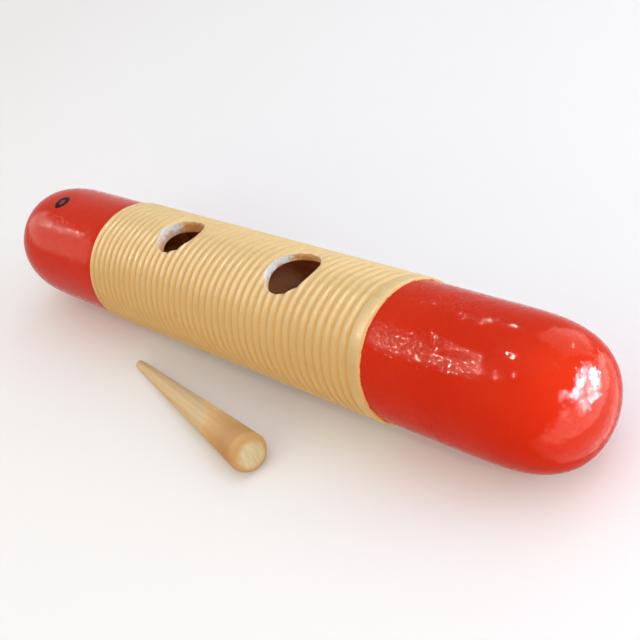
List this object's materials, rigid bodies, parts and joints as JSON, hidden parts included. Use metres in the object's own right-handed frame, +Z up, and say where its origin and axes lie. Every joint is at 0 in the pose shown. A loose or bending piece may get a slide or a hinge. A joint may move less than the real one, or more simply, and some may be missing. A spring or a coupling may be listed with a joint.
{
  "type": "guiro",
  "caption": "Hollow wooden guiro: a ribbed barrel with finger holes, closed by domed end caps, and a tapered scraper stick lying beside it.",
  "frame": {"origin": "on the table, under the rib crest at the middle of the barrel's length", "axes": "+X along the barrel from the head cap to the tail cap, +Z up, midway between the directions of the two finger holes; the scraper lies on the -Y side"},
  "size_m": [0.3946, 0.104, 0.0638],
  "materials": {
    "barrel_wood": "light hardwood, turned, under a thin clear satin lacquer",
    "cap_enamel": "turned wood under glossy orange-red enamel",
    "scraper_wood": "turned hardwood, oiled, with pale end grain at the butt"
  },
  "bodies": {
    "guiro": {"ribbed_barrel": "barrel_wood", "head_cap": "cap_enamel", "tail_cap": "cap_enamel"},
    "scraper": {"scraper_stick": "scraper_wood"}
  },
  "joints": [
    {"name": "scraper_lift", "type": "slide", "parent": "guiro", "child": "scraper", "axis": [0, 0, 1], "range_m": [0, 0.1]}
  ]
}
